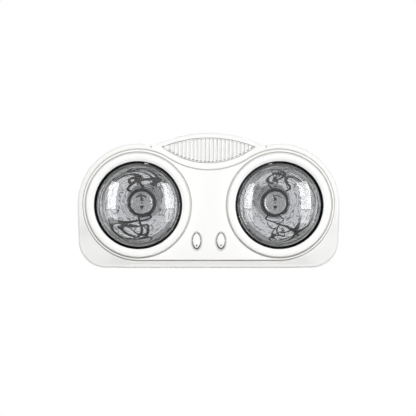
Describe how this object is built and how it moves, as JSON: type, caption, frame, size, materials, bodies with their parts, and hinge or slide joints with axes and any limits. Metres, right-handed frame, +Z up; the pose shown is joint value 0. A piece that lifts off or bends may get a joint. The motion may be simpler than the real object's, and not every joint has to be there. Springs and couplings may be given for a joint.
{
  "type": "wall-mounted heat lamp",
  "caption": "Wall-mounted bathroom heat lamp: a white shell with infrared reflector bulbs in raised rings, rocker switches between them and a slatted vent in its crown.",
  "frame": {"origin": "On the wall face, which is the back plate's rear side, midway between the two lamp axes and level with them.", "axes": "+Z up the wall, +X to the right as seen from the front, +Y into the wall, so the lamps face -Y."},
  "size_m": [0.392, 0.16, 0.204],
  "materials": {
    "white_plastic": "glossy moulded ABS, pure white",
    "matt_white_plastic": "matt moulded plastic",
    "dull_red_lens": "unlit red indicator lens",
    "black_silicone": "matt black silicone rubber",
    "black_plastic": "matt black heat-proof plastic",
    "clear_glass": "clear blown glass",
    "silver_coat": "vapour-deposited aluminium mirror",
    "zinc_plated_steel": "zinc-plated sheet and screws",
    "aluminium_sheet": "plain aluminium sheet",
    "brass_sheet": "plain brass",
    "tungsten_wire": "dark coiled tungsten wire",
    "white_porcelain": "unglazed white porcelain",
    "brown_wire": "brown insulation",
    "blue_wire": "blue insulation",
    "green_wire": "green earth insulation"
  },
  "bodies": {
    "housing": {"back_plate": "zinc_plated_steel", "cable_clamp": "black_plastic", "cable_grommet": "black_silicone", "cover_screw_1": "zinc_plated_steel", "cover_screw_2": "zinc_plated_steel", "cover_screw_3": "zinc_plated_steel", "cover_screw_4": "zinc_plated_steel", "earth_screw": "zinc_plated_steel", "front_shell": "white_plastic", "heat_shield": "aluminium_sheet", "holder_contact_left": "brass_sheet", "holder_contact_right": "brass_sheet", "holder_rail": "zinc_plated_steel", "holder_sleeve_left": "brass_sheet", "holder_sleeve_right": "brass_sheet", "lamp_holder_left": "white_porcelain", "lamp_holder_right": "white_porcelain", "lamp_ring_left": "white_plastic", "lamp_ring_right": "white_plastic", "lamp_seal_left": "black_silicone", "lamp_seal_right": "black_silicone", "rail_screw_1": "zinc_plated_steel", "rail_screw_2": "zinc_plated_steel", "shield_screw_1": "zinc_plated_steel", "shield_screw_2": "zinc_plated_steel", "shield_screw_3": "zinc_plated_steel", "switch_bezel_left": "white_plastic", "switch_bezel_right": "white_plastic", "switch_body_left": "black_plastic", "switch_body_right": "black_plastic", "terminal_block": "matt_white_plastic", "thermal_cutout": "black_plastic", "vent_baffle": "matt_white_plastic", "vent_grille": "white_plastic", "wire_cutout_to_switch": "brown_wire", "wire_earth": "green_wire", "wire_neutral_left": "blue_wire", "wire_neutral_right": "blue_wire", "wire_supply": "brown_wire", "wire_switch_link": "brown_wire", "wire_switched_left": "black_silicone", "wire_switched_right": "black_silicone"},
    "bulb_left": {"bulb_glass_left": "clear_glass", "bulb_mirror_left": "silver_coat", "bulb_stem_left": "clear_glass", "bulb_deflector_left": "aluminium_sheet", "bulb_filament_left": "tungsten_wire", "bulb_cap_left": "aluminium_sheet", "bulb_tip_left": "black_plastic"},
    "rocker_left": {"rocker_left": "white_plastic", "rocker_dot_left": "dull_red_lens"},
    "bulb_right": {"bulb_glass_right": "clear_glass", "bulb_mirror_right": "silver_coat", "bulb_stem_right": "clear_glass", "bulb_deflector_right": "aluminium_sheet", "bulb_filament_right": "tungsten_wire", "bulb_cap_right": "aluminium_sheet", "bulb_tip_right": "black_plastic"},
    "rocker_right": {"rocker_right": "white_plastic", "rocker_dot_right": "dull_red_lens"}
  },
  "joints": [
    {"name": "rocker_left_press", "type": "hinge", "parent": "housing", "child": "rocker_left", "pos_m": [-0.018, -0.1255, -0.0535], "axis": [1, 0, 0], "range_deg": [0, 14]},
    {"name": "rocker_right_press", "type": "hinge", "parent": "housing", "child": "rocker_right", "pos_m": [0.018, -0.1255, -0.0535], "axis": [1, 0, 0], "range_deg": [0, 14]},
    {"name": "bulb_left_unscrew", "type": "slide", "parent": "housing", "child": "bulb_left", "axis": [0, -1, 0], "range_m": [0, 0.13]},
    {"name": "bulb_right_unscrew", "type": "slide", "parent": "housing", "child": "bulb_right", "axis": [0, -1, 0], "range_m": [0, 0.13]}
  ]
}
